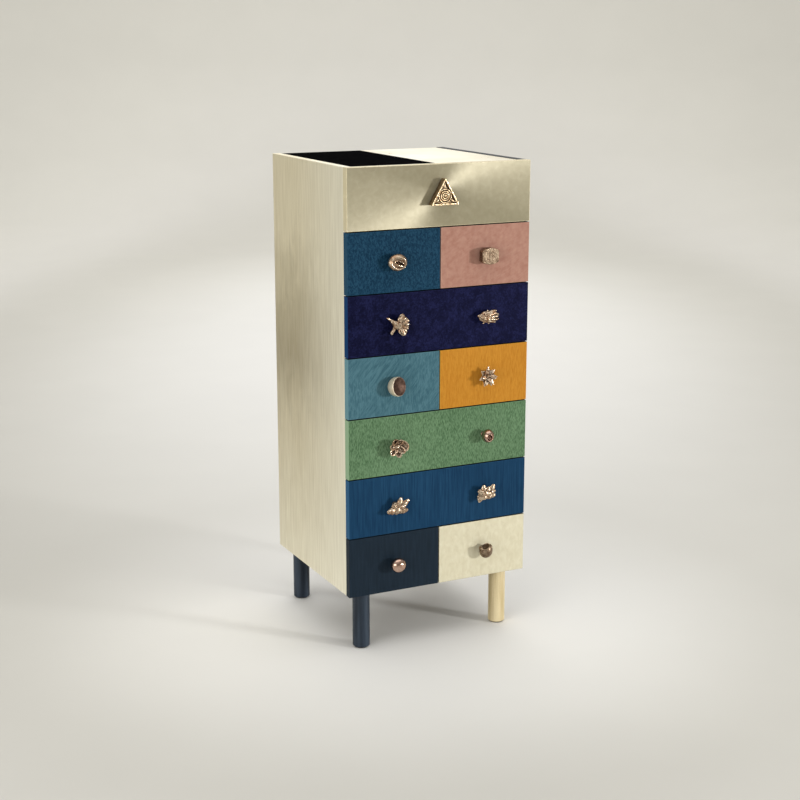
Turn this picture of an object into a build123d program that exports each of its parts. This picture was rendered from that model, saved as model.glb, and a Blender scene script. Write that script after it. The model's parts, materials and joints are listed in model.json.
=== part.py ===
from build123d import *
from math import cos, radians, sin, sqrt
import os

# A tall, narrow chest of ten drawers on four round legs, in millimetres.
# +Z is up, the drawers open towards -Y and +X is to the right of someone who stands before the chest.
# The origin is on the floor, under the middle of the box that holds the whole chest with its knobs.

# Carcass
CHEST_WIDTH = 500.0          # over the two side panels
CARCASS_DEPTH = 445.0        # side panels from their front edge to their back edge
ROW_PITCH = 152.5            # height of one row of drawers, from seam to seam
SIDE_THICKNESS = 20.0
BOTTOM_THICKNESS = 20.0
TOP_THICKNESS = 18.0
INLAY_THICKNESS = 6.0        # the two finished panels laid on the top board
INLAY_RECESS = 1.0           # how far they lie below the rim
DUST_THICKNESS = 12.0        # boards between the rows
PARTITION_THICKNESS = 16.0   # upright boards between two drawers of one row
BACK_THICKNESS = 8.0
HOUSING_DEPTH = 6.0          # how far the boards are let into the side panels
PARTITION_HOUSING = 3.0      # how far a partition is let into the boards above and below it
REBATE_WIDTH = 10.0          # how far the back panel laps each side panel
SIDE_EDGE = 1.0              # rounding of the outer edges of the side panels

# Legs and what holds them
LEG_LENGTH = 149.5
LEG_RADIUS = 22.0
LEG_EDGE = 3.0               # rounding of the lower edge
LEG_SIDE_INSET = 52.0        # axis of a leg from the outside of the side panel
LEG_END_INSET = 26.0         # axis of a leg from the front or back edge of the carcass
BOLT_RADIUS = 4.0
BOLT_LEG_DEPTH = 35.0
BOLT_GAP = 0.15
INSERT_RADIUS = 6.5          # threaded insert in the bottom board
INSERT_COVER = 4.0           # wood left above the insert
GLIDE_RADIUS = 17.0
GLIDE_THICKNESS = 3.0
GLIDE_PIN_RADIUS = 1.5
GLIDE_PIN_LENGTH = 12.0
GLIDE_PIN_GAP = 0.1

# Screws that hold the back panel
BACK_SCREW_RADIUS = 1.75
BACK_SCREW_GRIP = 22.0       # length inside the board
BACK_SCREW_HEAD_RADIUS = 3.6
BACK_SCREW_HEAD_HEIGHT = 2.2
BACK_SCREW_SINK = 0.3        # how far the head lies below the back face
BACK_SCREW_GAP = 0.15
BACK_SCREW_LEG_INSET = 14.0  # outer columns of screws from the axes of the legs, clear of the inserts

# Drawer fronts and boxes
FRONT_THICKNESS = 20.0
FRONT_SEAM = 2.5             # between neighbouring fronts
FRONT_EDGE = 1.0             # rounding of the edges of the front face
BOX_WALL = 12.0
BOX_SIDE_GAP = 1.0
BOX_HEAD_GAP = 10.0
BOX_BACK_GAP = 7.0
BOX_FLOOR = 6.0
BOX_FLOOR_LIFT = 10.0        # underside of the floor panel above the lower edge of the box
GROOVE_DEPTH = 6.0           # how far the floor panel enters the walls
GROOVE_GAP = 0.3
FINGER_COUNT = 7             # fingers in one corner joint, shared by the two boards

# Knob screws and the turned posts between a front and its cast knobs
SCREW_RADIUS = 2.0
SCREW_GAP = 0.2
SCREW_GRIP = 8.0             # length inside the cast head
SCREW_END_GAP = 1.0
SCREW_HEAD_RADIUS = 4.2
SCREW_HEAD_HEIGHT = 2.8
SCREW_SLOT_WIDTH = 1.0
SCREW_SLOT_DEPTH = 1.2
POST_RADIUS = 6.5
POST_LENGTH = 10.0

# Cast knobs: width across, height up and depth outwards, as seen from the front
TRIANGLE_SIDE = 76.0
TRIANGLE_DEPTH = 20.0
TRIANGLE_CORNER = 2.0
TRIANGLE_RIM = 4.5
TRIANGLE_RECESS = 5.0
TRIANGLE_BOSS_RADIUS = 15.0
TRIANGLE_BOSS_HEIGHT = 3.5
TRIANGLE_COIL_RADIUS = 1.6
TRIANGLE_COIL_SHARES = (0.86, 0.52, 0.18)
TRIANGLE_POST_RADIUS = 12.0
TRIANGLE_POST_LENGTH = 4.0

COWRIE_WIDTH = 47.0
COWRIE_HEIGHT = 40.0
COWRIE_DEPTH = 22.0
COWRIE_BOWL_LENGTH = 38.0    # oval hollow in its face
COWRIE_BOWL_BREADTH = 26.0
COWRIE_BOWL_DEPTH = 6.0
COWRIE_BEAN_LENGTH = 32.0    # almond that lies in the hollow
COWRIE_BEAN_BREADTH = 17.0
COWRIE_BEAN_DEPTH = 21.0
COWRIE_SLIT_LENGTH = 22.0
COWRIE_SLIT_WIDTH = 3.0
COWRIE_SLIT_DEPTH = 5.0
COWRIE_TURN = -24.0

BARREL_WIDTH = 44.0
BARREL_HEIGHT = 41.0
BARREL_END = 27.0            # height of its flat left and right ends
BARREL_DEPTH = 18.0
BARREL_EDGE = 4.0

ORCHID_WIDTH = 60.0
ORCHID_HEIGHT = 52.0
ORCHID_DEPTH = 22.0
ORCHID_LOBE_SHARES = (       # middle across and up, length, breadth, depth
    (-0.02, 0.00, 0.50, 0.34, 0.90),
    (0.12, 0.26, 0.42, 0.26, 0.80),
    (0.28, 0.16, 0.42, 0.30, 1.00),
    (0.32, -0.06, 0.36, 0.30, 0.86),
    (0.24, -0.26, 0.42, 0.30, 0.92),
    (0.04, -0.16, 0.40, 0.24, 0.72),
    (-0.26, 0.12, 0.34, 0.24, 0.66),
)
ORCHID_LOBE_TURNS = (20.0, 66.0, 30.0, -4.0, -52.0, -40.0, 132.0)
ORCHID_SPIKE_SHARES = (      # length, radius at the root, height of its axis
    (0.58, 0.10, 0.28),
    (0.50, 0.10, 0.26),
)
ORCHID_SPIKE_TURNS = (146.0, 236.0)

LEAF_WIDTH = 60.0
LEAF_HEIGHT = 40.0
LEAF_DEPTH = 20.0
LEAF_LOBE_SHARES = (
    (-0.06, 0.04, 0.70, 0.58, 0.94),
    (-0.02, 0.16, 0.62, 0.32, 1.00),
    (0.08, -0.12, 0.60, 0.40, 0.90),
    (-0.36, 0.06, 0.26, 0.26, 0.60),
    (0.22, 0.22, 0.42, 0.20, 0.76),
    (0.32, 0.04, 0.36, 0.18, 0.70),
    (0.32, -0.16, 0.34, 0.18, 0.66),
    (0.18, -0.30, 0.34, 0.18, 0.60),
)
LEAF_LOBE_TURNS = (6.0, 8.0, -12.0, 20.0, 4.0, -16.0, -30.0, -44.0)
LEAF_SPIKE_SHARES = (
    (0.42, 0.10, 0.34),
    (0.30, 0.09, 0.30),
)
LEAF_SPIKE_TURNS = (194.0, 246.0)

CUP_RADIUS = 25.0
CUP_SEAT_SHARE = 0.32        # middle of the ball above its seat
CUP_FACE_OFFSET = 6.0        # flat mouth from the middle of the ball
CUP_TILT = 30.0
CUP_TILT_HEADING = 12.0
CUP_RIM = 2.5
CUP_DISH_DEPTH = 5.0

STAR_RADIUS = 24.0
STAR_DEPTH = 26.0
STAR_CORE_RADIUS = 13.0
STAR_PETAL_RADIUS = 9.0
STAR_TIP_SHARE = 0.1
STAR_OUTER_COUNT = 9
STAR_INNER_COUNT = 6
STAR_OUTER_RISE = 12.0
STAR_INNER_RISE = 46.0

FLOWER_WIDTH = 48.0
FLOWER_DEPTH = 22.0
FLOWER_PETAL_COUNT = 6
FLOWER_PETAL_LENGTH_SHARE = 0.50
FLOWER_PETAL_BREADTH_SHARE = 0.30
FLOWER_PETAL_PLACE_SHARE = 0.25
FLOWER_CORE_SHARE = 0.34

BUD_WIDTH = 31.0
BUD_HEIGHT = 35.0
BUD_DEPTH = 31.0

NUGGET_WIDTH = 63.0
NUGGET_HEIGHT = 47.0
NUGGET_DEPTH = 24.0
NUGGET_LOBE_SHARES = (
    (0.00, -0.08, 0.56, 0.56, 1.00),
    (-0.28, -0.18, 0.44, 0.42, 0.80),
    (-0.12, 0.12, 0.30, 0.36, 0.86),
    (0.20, -0.22, 0.40, 0.44, 0.84),
    (0.24, 0.22, 0.44, 0.34, 0.76),
    (0.34, 0.00, 0.32, 0.36, 0.66),
)
NUGGET_LOBE_TURNS = (-10.0, 6.0, 40.0, -20.0, 48.0, 18.0)

SHELL_WIDTH = 48.0
SHELL_HEIGHT = 51.0
SHELL_DEPTH = 24.0
SHELL_LOBE_SHARES = (
    (0.00, 0.02, 0.80, 0.60, 0.90),
    (0.04, -0.18, 0.84, 0.34, 1.00),
    (0.34, -0.04, 0.30, 0.34, 0.70),
)
SHELL_LOBE_TURNS = (10.0, 6.0, 20.0)
SHELL_SPIKE_SHARES = (
    (0.52, 0.17, 0.36),
    (0.54, 0.16, 0.44),
    (0.60, 0.15, 0.40),
    (0.62, 0.15, 0.32),
    (0.48, 0.16, 0.34),
)
SHELL_SPIKE_TURNS = (122.0, 92.0, 48.0, 236.0, 158.0)

PEBBLE_WIDTH = 38.0
PEBBLE_HEIGHT = 35.0
PEBBLE_DEPTH = 29.0

NUT_WIDTH = 35.0
NUT_HEIGHT = 37.0
NUT_DEPTH = 27.0
NUT_NOTCH_RADIUS = 7.0
NUT_NOTCH_PLACE_SHARES = (-0.08, 0.50)

SPIKE_TIP_SHARE = 0.3        # tip radius of a cast spike, of its root radius
SEAT_SHARE = 0.6             # widest section of a cast lobe above its seat, of its half depth
BALL_SEAT_SHARE = 0.85

OVERRUN = 1.0                # how far a cutting shape passes the face that it cuts

# The rows from the top down, the drawers of each from left to right, and the knobs on each drawer
ROWS = (
    (("brass_drawer", ("knob_triangle",)),),
    (("teal_drawer", ("knob_cowrie",)), ("pink_drawer", ("knob_barrel",))),
    (("indigo_drawer", ("knob_orchid", "knob_leaf")),),
    (("sky_drawer", ("knob_cup",)), ("mustard_drawer", ("knob_star",))),
    (("green_drawer", ("knob_flower", "knob_bud")),),
    (("blue_drawer", ("knob_nugget", "knob_shell")),),
    (("navy_drawer", ("knob_pebble",)), ("ivory_drawer", ("knob_nut",))),
)

ON_BASE = (Align.CENTER, Align.CENTER, Align.MIN)


def block(x, y, z):
    """A board between two places on each axis."""
    middle = ((x[0] + x[1]) / 2, (y[0] + y[1]) / 2, (z[0] + z[1]) / 2)
    return Pos(*middle) * Box(x[1] - x[0], y[1] - y[0], z[1] - z[0])


def rod(radius, start, direction, length):
    """A round rod from a point along a direction."""
    return Plane(origin=start, z_dir=direction) * Cylinder(radius, length, align=ON_BASE)


def save(name, *solids):
    """Write one node, as one solid or as a group of separate solids."""
    shapes = [solid for shape in solids for solid in shape.solids()]
    export_step(shapes[0] if len(shapes) == 1 else Compound(shapes), f"parts/{name}.step")


# Cast heads, each with its seat on z = 0, facing +z, with y up the front


def seated(shape, width, height, depth):
    """Cut a head flat at its seat."""
    return shape & Box(2 * width, 2 * height, 2 * depth, align=ON_BASE)


def lobe(width, height, depth, seat_share=SEAT_SHARE):
    """A rounded lump that swells out above its seat and is as deep as it is told."""
    half = depth / (1 + seat_share)
    return Pos(0, 0, half * seat_share) * scale(Sphere(1), by=(width / 2, height / 2, half))


def spike(root_radius, axis_height, length, turn, rise=0.0, tip_share=SPIKE_TIP_SHARE):
    """A tapered spike that leaves the middle of a head at a turn, and rises from the front."""
    level = cos(radians(rise))
    heading = (cos(radians(turn)) * level, sin(radians(turn)) * level, sin(radians(rise)))
    cone = Cone(root_radius, root_radius * tip_share, length, align=ON_BASE)
    return Plane(origin=(0, 0, axis_height), z_dir=heading) * cone


def cluster(width, height, depth, lobe_shares, lobe_turns, spike_shares=(), spike_turns=()):
    """Lobes and spikes grown into one casting."""
    parts = []
    for (across, up, long, broad, deep), turn in zip(lobe_shares, lobe_turns):
        lump = lobe(long * width, broad * height, deep * depth)
        parts.append(Pos(across * width, up * height, 0) * Rot(0, 0, turn) * lump)
    for (long, thick, lift), turn in zip(spike_shares, spike_turns):
        parts.append(spike(thick * height, lift * depth, long * width, turn))
    head = parts[0]
    for part in parts[1:]:
        head += part
    return seated(head, width, height, depth)


def triangle_head():
    corner = TRIANGLE_SIDE / sqrt(3)
    outline = RegularPolygon(corner, 3, rotation=90)
    outline = fillet(outline.vertices(), TRIANGLE_CORNER)
    field = RegularPolygon(corner - 2 * TRIANGLE_RIM, 3, rotation=90)
    floor = TRIANGLE_DEPTH - TRIANGLE_RECESS
    head = extrude(outline, TRIANGLE_DEPTH)
    head -= Pos(0, 0, floor) * extrude(field, TRIANGLE_RECESS + OVERRUN)
    head += Pos(0, 0, floor) * Cylinder(TRIANGLE_BOSS_RADIUS, TRIANGLE_BOSS_HEIGHT, align=ON_BASE)
    for share in TRIANGLE_COIL_SHARES:
        coil = Torus(share * TRIANGLE_BOSS_RADIUS, TRIANGLE_COIL_RADIUS)
        head += Pos(0, 0, floor + TRIANGLE_BOSS_HEIGHT) * coil
    return head


def cowrie_head():
    shell = seated(lobe(COWRIE_WIDTH, COWRIE_HEIGHT, COWRIE_DEPTH), COWRIE_WIDTH, COWRIE_HEIGHT, COWRIE_DEPTH)
    bowl = scale(Sphere(1), by=(COWRIE_BOWL_LENGTH / 2, COWRIE_BOWL_BREADTH / 2, COWRIE_BOWL_DEPTH))
    bean = lobe(COWRIE_BEAN_LENGTH, COWRIE_BEAN_BREADTH, COWRIE_BEAN_DEPTH)
    bean = seated(bean, COWRIE_BEAN_LENGTH, COWRIE_BEAN_BREADTH, COWRIE_BEAN_DEPTH)
    slit = extrude(SlotOverall(COWRIE_SLIT_LENGTH, COWRIE_SLIT_WIDTH), COWRIE_SLIT_DEPTH + OVERRUN)
    turn = Rot(0, 0, COWRIE_TURN)
    head = shell - Pos(0, 0, COWRIE_DEPTH) * turn * bowl + turn * bean
    return head - Pos(0, 0, COWRIE_BEAN_DEPTH - COWRIE_SLIT_DEPTH) * turn * slit


def barrel_head():
    side, end, crown = BARREL_WIDTH / 2, BARREL_END / 2, BARREL_HEIGHT / 2
    edges = [
        ThreePointArc((-side, end), (0, crown), (side, end)),
        Line((side, end), (side, -end)),
        ThreePointArc((side, -end), (0, -crown), (-side, -end)),
        Line((-side, -end), (-side, end)),
    ]
    cushion = extrude(make_face(edges), BARREL_DEPTH)
    return fillet(cushion.faces().sort_by(Axis.Z)[-1].edges(), BARREL_EDGE)


def cup_head():
    middle = Vector(0, 0, CUP_RADIUS * CUP_SEAT_SHARE)
    tilt, heading = radians(CUP_TILT), radians(CUP_TILT_HEADING)
    facing = Vector(sin(tilt) * cos(heading), sin(tilt) * sin(heading), cos(tilt))
    mouth_radius = sqrt(CUP_RADIUS**2 - CUP_FACE_OFFSET**2) - CUP_RIM
    dish_radius = (mouth_radius**2 + CUP_DISH_DEPTH**2) / (2 * CUP_DISH_DEPTH)
    mouth = middle + facing * CUP_FACE_OFFSET
    head = Pos(*middle) * Sphere(CUP_RADIUS)
    head -= Plane(origin=mouth, z_dir=facing) * Box(4 * CUP_RADIUS, 4 * CUP_RADIUS, CUP_RADIUS, align=ON_BASE)
    head -= Pos(*(mouth + facing * (dish_radius - CUP_DISH_DEPTH))) * Sphere(dish_radius)
    return seated(head, 2 * CUP_RADIUS, 2 * CUP_RADIUS, 2 * CUP_RADIUS)


def star_head():
    root_height = STAR_PETAL_RADIUS
    head = Pos(0, 0, root_height) * Sphere(STAR_CORE_RADIUS)
    for count, rise, first_turn in (
        (STAR_OUTER_COUNT, STAR_OUTER_RISE, 90),
        (STAR_INNER_COUNT, STAR_INNER_RISE, 70),
    ):
        reach = min(STAR_RADIUS / cos(radians(rise)), (STAR_DEPTH - root_height) / sin(radians(rise)))
        for step in range(count):
            turn = first_turn + 360 * step / count
            head += spike(STAR_PETAL_RADIUS, root_height, reach, turn, rise, STAR_TIP_SHARE)
    return seated(head, 2 * STAR_RADIUS, 2 * STAR_RADIUS, STAR_DEPTH)


def flower_head():
    core_width = FLOWER_CORE_SHARE * FLOWER_WIDTH
    head = lobe(core_width, core_width, FLOWER_DEPTH)
    petal = lobe(
        FLOWER_PETAL_LENGTH_SHARE * FLOWER_WIDTH,
        FLOWER_PETAL_BREADTH_SHARE * FLOWER_WIDTH,
        FLOWER_DEPTH,
    )
    for step in range(FLOWER_PETAL_COUNT):
        turn = Rot(0, 0, 360 * step / FLOWER_PETAL_COUNT)
        head += turn * Pos(FLOWER_PETAL_PLACE_SHARE * FLOWER_WIDTH, 0, 0) * petal
    return seated(head, FLOWER_WIDTH, FLOWER_WIDTH, FLOWER_DEPTH)


def ball_head(width, height, depth):
    return seated(lobe(width, height, depth, BALL_SEAT_SHARE), width, height, depth)


def nut_head():
    across, up = NUT_NOTCH_PLACE_SHARES
    notch = Cylinder(NUT_NOTCH_RADIUS, 2 * NUT_DEPTH)
    ball = ball_head(NUT_WIDTH, NUT_HEIGHT, NUT_DEPTH)
    return ball - Pos(across * NUT_WIDTH, up * NUT_HEIGHT, NUT_DEPTH) * notch


HEADS = {
    "knob_triangle": triangle_head(),
    "knob_cowrie": cowrie_head(),
    "knob_barrel": barrel_head(),
    "knob_orchid": cluster(
        ORCHID_WIDTH, ORCHID_HEIGHT, ORCHID_DEPTH,
        ORCHID_LOBE_SHARES, ORCHID_LOBE_TURNS, ORCHID_SPIKE_SHARES, ORCHID_SPIKE_TURNS,
    ),
    "knob_leaf": cluster(
        LEAF_WIDTH, LEAF_HEIGHT, LEAF_DEPTH,
        LEAF_LOBE_SHARES, LEAF_LOBE_TURNS, LEAF_SPIKE_SHARES, LEAF_SPIKE_TURNS,
    ),
    "knob_cup": cup_head(),
    "knob_star": star_head(),
    "knob_flower": flower_head(),
    "knob_bud": ball_head(BUD_WIDTH, BUD_HEIGHT, BUD_DEPTH),
    "knob_nugget": cluster(NUGGET_WIDTH, NUGGET_HEIGHT, NUGGET_DEPTH, NUGGET_LOBE_SHARES, NUGGET_LOBE_TURNS),
    "knob_shell": cluster(
        SHELL_WIDTH, SHELL_HEIGHT, SHELL_DEPTH,
        SHELL_LOBE_SHARES, SHELL_LOBE_TURNS, SHELL_SPIKE_SHARES, SHELL_SPIKE_TURNS,
    ),
    "knob_pebble": ball_head(PEBBLE_WIDTH, PEBBLE_HEIGHT, PEBBLE_DEPTH),
    "knob_nut": nut_head(),
}


def post_size(knob):
    """Radius and length of the post under a knob."""
    if knob == "knob_triangle":
        return TRIANGLE_POST_RADIUS, TRIANGLE_POST_LENGTH
    return POST_RADIUS, POST_LENGTH


# Places that follow from the sizes
knob_reach = max(post_size(knob)[1] + head.bounding_box().max.Z for knob, head in HEADS.items())
whole_depth = knob_reach + FRONT_THICKNESS + CARCASS_DEPTH
face_y = knob_reach - whole_depth / 2
front_y = face_y + FRONT_THICKNESS
back_y = front_y + CARCASS_DEPTH
board_back_y = back_y - BACK_THICKNESS
body_bottom = GLIDE_THICKNESS + LEG_LENGTH
body_top = body_bottom + len(ROWS) * ROW_PITCH
board_top = body_top - INLAY_RECESS - INLAY_THICKNESS
side_x = CHEST_WIDTH / 2
inner_x = side_x - SIDE_THICKNESS
leg_x = side_x - LEG_SIDE_INSET
half_front_middle = (side_x + FRONT_SEAM / 2) / 2


def row_seam(row):
    """Height of the middle of the seam above a row, counted from 0 at the top."""
    return body_top - row * ROW_PITCH


def row_space(row):
    """Floor and ceiling of the space behind a row of fronts."""
    last = row == len(ROWS) - 1
    floor = body_bottom + BOTTOM_THICKNESS if last else row_seam(row + 1) + DUST_THICKNESS / 2
    ceiling = board_top - TOP_THICKNESS if row == 0 else row_seam(row) - DUST_THICKNESS / 2
    return floor, ceiling


# Carcass boards
board_x = (-inner_x - HOUSING_DEPTH, inner_x + HOUSING_DEPTH)
board_y = (front_y, board_back_y)
bottom_board = block(board_x, board_y, (body_bottom, body_bottom + BOTTOM_THICKNESS))
top_board = block(board_x, board_y, (board_top - TOP_THICKNESS, board_top))
dust_boards = []
for row in range(1, len(ROWS)):
    height = (row_seam(row) - DUST_THICKNESS / 2, row_seam(row) + DUST_THICKNESS / 2)
    dust_boards.append(block(board_x, board_y, height))
inlay_z = (board_top, board_top + INLAY_THICKNESS)
top_inlay_dark = block((-inner_x, 0), (front_y, back_y), inlay_z)
top_inlay_gold = block((0, inner_x), (front_y, back_y), inlay_z)
back_x = (-inner_x - REBATE_WIDTH, inner_x + REBATE_WIDTH)
back_panel = block(back_x, (board_back_y, back_y), (body_bottom, board_top))

partitions = []
for row, drawers in enumerate(ROWS):
    if len(drawers) == 2:
        floor, ceiling = row_space(row)
        height = (floor - PARTITION_HOUSING, ceiling + PARTITION_HOUSING)
        partitions.append(block((-PARTITION_THICKNESS / 2, PARTITION_THICKNESS / 2), board_y, height))
for partition in partitions:
    bottom_board -= partition
    dust_boards = [board - partition for board in dust_boards]

# Side panels, grooved for the boards and rebated for the back
side_panels = []
for side in (-1, 1):
    across = sorted((side * inner_x, side * side_x))
    panel = block(across, (front_y, back_y), (body_bottom, body_top))
    outer_edges = panel.faces().sort_by(Axis.X)[0 if side < 0 else -1].edges()
    panel = fillet(outer_edges, SIDE_EDGE)
    for board in [bottom_board, top_board, back_panel] + dust_boards:
        panel -= board
    side_panels.append(panel)
left_side_panel, right_side_panel = side_panels

# Back screws, from the back panel into the edges of the boards behind it
back_screws = []
screw_rows = [body_bottom + BOTTOM_THICKNESS / 2, board_top - TOP_THICKNESS / 2]
screw_rows += [row_seam(row) for row in range(2, len(ROWS), 2)]
head_y = back_y - BACK_SCREW_SINK
seat_y = head_y - BACK_SCREW_HEAD_HEIGHT
tip_y = board_back_y - BACK_SCREW_GRIP
outer_screw_x = leg_x - BACK_SCREW_LEG_INSET
for x in (-outer_screw_x, 0, outer_screw_x):
    for height in screw_rows:
        shank = rod(BACK_SCREW_RADIUS, (x, tip_y, height), (0, 1, 0), seat_y - tip_y)
        head = rod(BACK_SCREW_HEAD_RADIUS, (x, seat_y, height), (0, 1, 0), BACK_SCREW_HEAD_HEIGHT)
        back_screws.append(shank + head)
        bore = rod(BACK_SCREW_RADIUS + BACK_SCREW_GAP, (x, tip_y, height), (0, 1, 0), back_y - tip_y)
        sink = rod(BACK_SCREW_HEAD_RADIUS + BACK_SCREW_GAP, (x, seat_y, height), (0, 1, 0), back_y - seat_y)
        back_panel -= bore + sink
        bottom_board -= bore
        top_board -= bore
        dust_boards = [board - bore for board in dust_boards]

# Legs, each on a stud that turns into an insert in the bottom board, with a pinned glide below
leg_places = {
    "leg_front_left": (-leg_x, front_y + LEG_END_INSET),
    "leg_front_right": (leg_x, front_y + LEG_END_INSET),
    "leg_back_left": (-leg_x, back_y - LEG_END_INSET),
    "leg_back_right": (leg_x, back_y - LEG_END_INSET),
}
insert_length = BOTTOM_THICKNESS - INSERT_COVER
bolt_foot = body_bottom - BOLT_LEG_DEPTH
legs, leg_bolts, leg_inserts, leg_glides = {}, [], [], []
for name, (x, y) in leg_places.items():
    leg = Pos(x, y, GLIDE_THICKNESS) * Cylinder(LEG_RADIUS, LEG_LENGTH, align=ON_BASE)
    leg = fillet(leg.edges().sort_by(Axis.Z)[0], LEG_EDGE)
    leg -= rod(BOLT_RADIUS + BOLT_GAP, (x, y, bolt_foot), (0, 0, 1), BOLT_LEG_DEPTH)
    leg -= rod(GLIDE_PIN_RADIUS + GLIDE_PIN_GAP, (x, y, GLIDE_THICKNESS), (0, 0, 1), GLIDE_PIN_LENGTH)
    legs[name] = leg
    leg_bolts.append(rod(BOLT_RADIUS, (x, y, bolt_foot), (0, 0, 1), BOLT_LEG_DEPTH + insert_length))
    socket = rod(INSERT_RADIUS, (x, y, body_bottom), (0, 0, 1), insert_length)
    bottom_board -= socket
    leg_inserts.append(socket - rod(BOLT_RADIUS + BOLT_GAP, (x, y, body_bottom), (0, 0, 1), insert_length))
    pin = rod(GLIDE_PIN_RADIUS, (x, y, 0), (0, 0, 1), GLIDE_THICKNESS + GLIDE_PIN_LENGTH)
    leg_glides.append(rod(GLIDE_RADIUS, (x, y, 0), (0, 0, 1), GLIDE_THICKNESS) + pin)


# Drawers
def drawer_front(row, across):
    """One overlay front, flush with the carcass at the top and bottom of the chest."""
    top = row_seam(row) - (FRONT_SEAM / 2 if row > 0 else 0)
    bottom = row_seam(row + 1) + (FRONT_SEAM / 2 if row < len(ROWS) - 1 else 0)
    front = block(across, (face_y, front_y), (bottom, top))
    return fillet(front.faces().sort_by(Axis.Y)[0].edges(), FRONT_EDGE)


def drawer_box(across, floor, ceiling):
    """Four finger-jointed walls and a floor panel in their grooves: left, right, front, back, floor."""
    x0, x1 = across[0] + BOX_SIDE_GAP, across[1] - BOX_SIDE_GAP
    y0, y1 = front_y, board_back_y - BOX_BACK_GAP
    z0, z1 = floor, ceiling - BOX_HEAD_GAP
    left = block((x0, x0 + BOX_WALL), (y0, y1), (z0, z1))
    right = block((x1 - BOX_WALL, x1), (y0, y1), (z0, z1))
    front = block((x0, x1), (y0, y0 + BOX_WALL), (z0, z1))
    back = block((x0, x1), (y1 - BOX_WALL, y1), (z0, z1))
    finger = (z1 - z0) / FINGER_COUNT
    for step in range(FINGER_COUNT):
        height = (z0 + step * finger, z0 + (step + 1) * finger)
        corners = [
            block(x, y, height)
            for x in ((x0, x0 + BOX_WALL), (x1 - BOX_WALL, x1))
            for y in ((y0, y0 + BOX_WALL), (y1 - BOX_WALL, y1))
        ]
        if step % 2:
            left -= corners[0] + corners[1]
            right -= corners[2] + corners[3]
        else:
            front -= corners[0] + corners[2]
            back -= corners[1] + corners[3]
    inset = BOX_WALL - GROOVE_DEPTH
    lift = z0 + BOX_FLOOR_LIFT
    groove = block((x0 + inset, x1 - inset), (y0 + inset, y1 - inset), (lift, lift + BOX_FLOOR + GROOVE_GAP))
    inset += GROOVE_GAP
    panel = block((x0 + inset, x1 - inset), (y0 + inset, y1 - inset), (lift, lift + BOX_FLOOR))
    return [wall - groove for wall in (left, right, front, back)] + [panel]


def knob_screw(x, z, post_length):
    """A pan-head screw from inside the drawer, through the front and the post into the cast head."""
    seat = front_y + BOX_WALL
    tip = face_y - post_length - SCREW_GRIP + SCREW_END_GAP
    screw = rod(SCREW_RADIUS, (x, seat, z), (0, -1, 0), seat - tip)
    screw += rod(SCREW_HEAD_RADIUS, (x, seat, z), (0, 1, 0), SCREW_HEAD_HEIGHT)
    crown = seat + SCREW_HEAD_HEIGHT
    across = (x - SCREW_HEAD_RADIUS, x + SCREW_HEAD_RADIUS)
    half_slot = SCREW_SLOT_WIDTH / 2
    return screw - block(across, (crown - SCREW_SLOT_DEPTH, crown), (z - half_slot, z + half_slot))


def knob_bore(x, z, start, end):
    """The clearance hole for a knob screw between two depths."""
    return rod(SCREW_RADIUS + SCREW_GAP, (x, end, z), (0, -1, 0), end - start)


def knob_places(row, names):
    """Where the knobs of a front stand across it."""
    if len(ROWS[row]) == 2:
        left = names == ROWS[row][0][1]
        return [-half_front_middle if left else half_front_middle]
    return [0.0] if len(names) == 1 else [-half_front_middle, half_front_middle]


os.makedirs("parts", exist_ok=True)
save("left_side_panel", left_side_panel)
save("right_side_panel", right_side_panel)
save("bottom_board", bottom_board)
save("top_board", top_board)
save("top_inlay_dark", top_inlay_dark)
save("top_inlay_gold", top_inlay_gold)
save("back_panel", back_panel)
save("back_screws", *back_screws)
save("dust_boards", *dust_boards)
save("partitions", *partitions)
for name, leg in legs.items():
    save(name, leg)
save("leg_bolts", *leg_bolts)
save("leg_inserts", *leg_inserts)
save("leg_glides", *leg_glides)

for row, drawers in enumerate(ROWS):
    floor, ceiling = row_space(row)
    for place, (drawer, knobs) in enumerate(drawers):
        if len(drawers) == 1:
            front_span, box_span = (-side_x, side_x), (-inner_x, inner_x)
        elif place == 0:
            front_span, box_span = (-side_x, -FRONT_SEAM / 2), (-inner_x, -PARTITION_THICKNESS / 2)
        else:
            front_span, box_span = (FRONT_SEAM / 2, side_x), (PARTITION_THICKNESS / 2, inner_x)
        front = drawer_front(row, front_span)
        walls = drawer_box(box_span, floor, ceiling)
        z = front.bounding_box().center().Z
        screws = []
        for knob, x in zip(knobs, knob_places(row, knobs)):
            radius, length = post_size(knob)
            seat = face_y - length
            facing = Plane(origin=(x, seat, z), x_dir=(1, 0, 0), z_dir=(0, -1, 0))
            head = facing * HEADS[knob] - knob_bore(x, z, seat - SCREW_GRIP, seat)
            post = rod(radius, (x, face_y, z), (0, -1, 0), length) - knob_bore(x, z, seat, face_y)
            save(knob, head, post)
            screws.append(knob_screw(x, z, length))
            front -= knob_bore(x, z, face_y, front_y)
            walls[2] -= knob_bore(x, z, front_y, front_y + BOX_WALL)
        save(f"{drawer}_front", front)
        save(f"{drawer}_box", *walls)
        save(f"{drawer}_screws", *screws)
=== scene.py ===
# %% [markdown]
# # A tall chest of ten drawers with cast knobs
# The CAD model brings every board, front, leg and screw at its real size and place. This lesson
# dresses it: each front gets its own dyed veneer, leaf or lacquer, and each of the thirteen knobs is
# modelled again in more detail and takes the place of its plain casting.

# %% Load the CAD frame
import json
import math

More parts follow.
